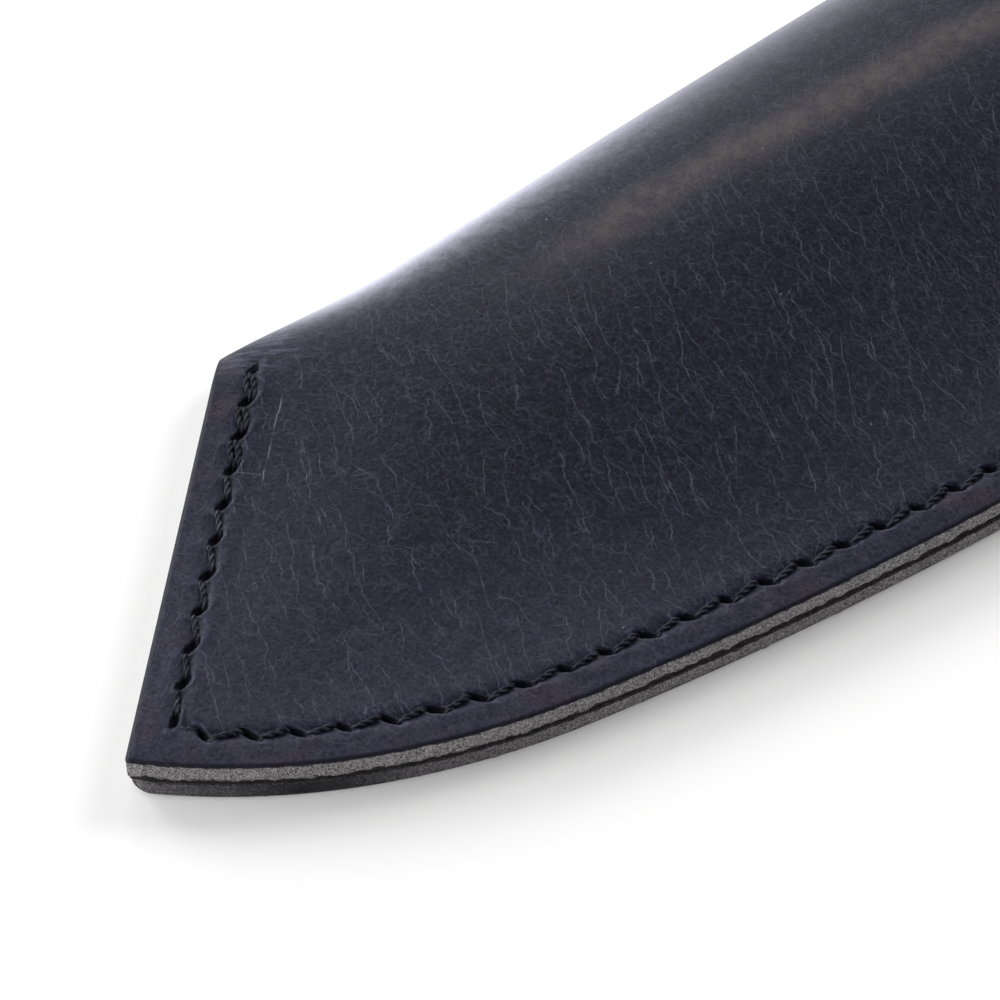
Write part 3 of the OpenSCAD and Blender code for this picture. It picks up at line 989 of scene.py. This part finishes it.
def welt_material():
    """Dark hide with a torn edge of fibres and a few pale specks."""
    g = Graph("welt_hide")
    plain = g.place()
    fibre = g.noise(plain, 3.4, 4.0, 0.8)
    specks = g.noise(plain, 6.5, 3.0, 0.8)
    colour = g.mix(fibre.step(0.38, 0.66), srgb(15, 13, 14), srgb(58, 52, 49))
    colour = g.mix(specks.step(0.58, 0.72) * 0.6, colour, srgb(118, 110, 104))
    return g.finish(colour, fibre * 0.1 + 0.86, fibre * 2 + specks, 0.05, Specular_IOR_Level=0.3)


def thread_material():
    """Waxed dark blue thread: fine fibres along its plies, painted shade between them, and paler fibres on
    the ply crowns, partly wear and partly painted glints.
    """
    g = Graph("waxed_thread")
    plain = g.place()
    crown = g.attribute("crown")
    fibre = g.noise(plain, 12.0, 3.0, 0.7)
    pale = g.noise(plain, 1.1, 2.0).step(0.42, 0.6) * fibre.step(0.42, 0.6)
    # Pale fibres on the ply crowns: partly worn fibres, partly painted glints
    wear_and_highlight = pale * crown.step(0.35, 0.9) * g.attribute("wear_and_glint")
    colour = g.mix(fibre.step(0.35, 0.7), srgb(6, 7, 17), srgb(18, 19, 33))
    colour = g.mix(wear_and_highlight * 0.8, colour, srgb(112, 112, 126))
    # Painted shade in the hollows between the plies
    colour = g.mix(crown.step(0.45, 0.05) * 0.8, colour, srgb(3, 3, 9))
    gloss = {"Specular_IOR_Level": 0.22, "Specular_Tint": (0.8, 0.82, 1.0, 1.0)}
    return g.finish(colour, 0.34 + fibre * 0.25, fibre, 0.03, **gloss)


def floor_material():
    """White paper, a little brighter to the camera and to reflections, with the shadow kept."""
    g = Graph("white_paper")
    path = g.nodes.new("ShaderNodeLightPath")
    seen = Field(g, path.outputs["Is Camera Ray"]).math("MAXIMUM", Field(g, path.outputs["Is Glossy Ray"]))
    grain_mm = g.noise(g.place(), 0.8, 2.0)
    colour = g.mix(grain_mm, (0.97, 0.97, 0.965, 1), (0.96, 0.96, 0.955, 1))
    paper = g.add("ShaderNodeBsdfDiffuse", None, {"Color": colour})
    white = g.add("ShaderNodeEmission", None, {"Color": (1, 1, 1, 1), "Strength": 1.0})
    mixed = g.nodes.new("ShaderNodeMixShader")
    for socket, value in zip(mixed.inputs, (seen * 0.12, paper, white), strict=True):
        g.links.new(value.socket, socket)
    g.add("ShaderNodeOutputMaterial", None, {"Surface": Field(g, mixed.outputs[0])})
    return g.material


# Stage: floor, lamps, world and camera


def ground_vector(ahead, right, up):
    """A vector given as ahead of the camera, to its right and up, in the part's frame."""
    a = Vector((math.sin(VIEW_TURN), math.cos(VIEW_TURN), 0))
    r = Vector((math.cos(VIEW_TURN), -math.sin(VIEW_TURN), 0))
    return a * ahead + r * right + Vector((0, 0, up))


FLOOR_R = 4
FLOOR_GAP = 0.00002


def add_floor():
    """A wide disc just under the guard, in metres."""
    a = np.linspace(0, 2 * np.pi, 96, endpoint=False)
    ring = np.stack([FLOOR_R * np.cos(a), FLOOR_R * np.sin(a), np.full(len(a), -FLOOR_GAP)], -1)
    mesh = bpy.data.meshes.new("floor")
    mesh.from_pydata(ring.tolist(), [], [list(range(len(a)))])
    mesh.materials.append(floor_material())
    floor = bpy.data.objects.new("floor", mesh)
    bpy.context.scene.collection.objects.link(floor)


def add_lamp(name, turn, rise, spread, level):
    """A round soft light far off, turned from straight ahead and raised, in degrees.

    level is its share of the light on the floor, where the lamps and the world together give about 1.
    """
    lamp = bpy.data.lights.new(name, "SUN")
    a, b = math.radians(turn), math.radians(rise)
    lamp.angle = math.radians(spread)
    lamp.energy = math.pi * level / math.sin(b)
    light = bpy.data.objects.new(name, lamp)
    towards = ground_vector(math.cos(a) * math.cos(b), math.sin(a) * math.cos(b), math.sin(b))
    light.rotation_mode = "QUATERNION"
    light.rotation_quaternion = towards.to_track_quat("Z", "Y")
    light.location = towards
    bpy.context.scene.collection.objects.link(light)


def add_world():
    """A pale surround, bright at the horizon and dimmer above, which the camera sees as white."""
    world = bpy.data.worlds.new("studio")
    world.use_nodes = True
    nodes, links = world.node_tree.nodes, world.node_tree.links
    nodes.clear()
    path, where = nodes.new("ShaderNodeLightPath"), nodes.new("ShaderNodeTexCoord")
    split, ramp = nodes.new("ShaderNodeSeparateXYZ"), nodes.new("ShaderNodeMapRange")
    dim, white = nodes.new("ShaderNodeBackground"), nodes.new("ShaderNodeBackground")
    links.new(where.outputs["Generated"], split.inputs[0])
    links.new(split.outputs["Z"], ramp.inputs["Value"])
    ramp.interpolation_type = "SMOOTHSTEP"
    for name, value in (("From Min", 0.3), ("From Max", 0.95), ("To Min", 0.3), ("To Max", 0.0)):
        ramp.inputs[name].default_value = value
    links.new(ramp.outputs[0], dim.inputs["Strength"])
    dim.inputs["Color"].default_value = (0.99, 0.99, 1.0, 1)
    white.inputs["Color"].default_value = (1, 1, 1, 1)
    mix, out = nodes.new("ShaderNodeMixShader"), nodes.new("ShaderNodeOutputWorld")
    links.new(path.outputs["Is Camera Ray"], mix.inputs[0])
    links.new(dim.outputs[0], mix.inputs[1])
    links.new(white.outputs[0], mix.inputs[2])
    links.new(mix.outputs[0], out.inputs["Surface"])
    bpy.context.scene.world = world


def add_camera():
    """The camera that the stitch holes give, looking down at the tip half."""
    data = bpy.data.cameras.new("camera")
    data.lens, data.sensor_width = VIEW_LENS, 36.0
    data.clip_start, data.clip_end = 0.01, 20
    camera = bpy.data.objects.new("camera", data)
    back = ground_vector(-math.cos(VIEW_RISE), 0, math.sin(VIEW_RISE))
    camera.location = AIM + back * VIEW_DISTANCE
    camera.rotation_mode = "QUATERNION"
    camera.rotation_quaternion = (-back).to_track_quat("-Z", "Y")
    bpy.context.scene.collection.objects.link(camera)
    bpy.context.scene.camera = camera


bpy.context.scene.view_settings.view_transform = "Standard"
add_camera()
add_world()
add_floor()
add_lamp("back_strip", -6, 22, 26, 0.06)
add_lamp("back_overhead", -6, 42, 22, 0.03)
add_lamp("back_left_softbox", -45, 25, 30, 0.2)
add_lamp("back_right_softbox", 48, 36, 26, 0.21)
add_lamp("left_softbox", -90, 30, 40, 0.28)
add_lamp("front_left_softbox", -140, 40, 50, 0.2)

build_hide(hide_material())
build_welt(welt_material())
thread = thread_material()
build_thread("needle_thread_twist", "needle_thread", EDGE_T - NEEDLE_SINK, EDGE_T - THREAD_DIP, thread)
build_thread("bobbin_thread_twist", "bobbin_thread", THREAD_D / 2 + BOBBIN_RISE, THREAD_DIP, thread)
